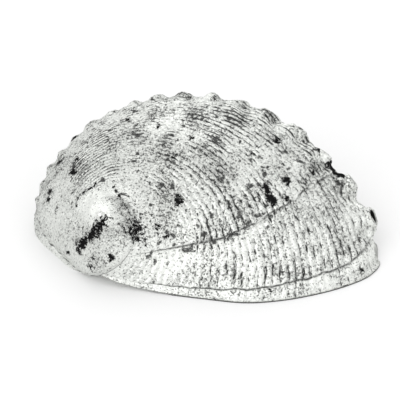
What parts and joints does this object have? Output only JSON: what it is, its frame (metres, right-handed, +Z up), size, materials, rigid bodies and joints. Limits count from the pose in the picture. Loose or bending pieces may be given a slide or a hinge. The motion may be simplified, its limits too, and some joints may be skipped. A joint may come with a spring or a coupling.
{
  "type": "abalone shell",
  "caption": "Ear-shaped ribbed abalone shell with a low spire and a row of raised holes along its far ridge, silver-coated, resting hollow side down on its rim.",
  "frame": {"origin": "centre of the bounding box at the height of the rim that the shell rests on", "axes": "+X along the length, from the spire end to the end with the open holes; +Y to the side with the hole ridge; +Z up"},
  "size_m": [0.1552, 0.103, 0.0487],
  "materials": {
    "silver_shell": "antiqued satin silver with black in the recesses"
  },
  "bodies": {
    "root": {"shell": "silver_shell"}
  },
  "joints": []
}
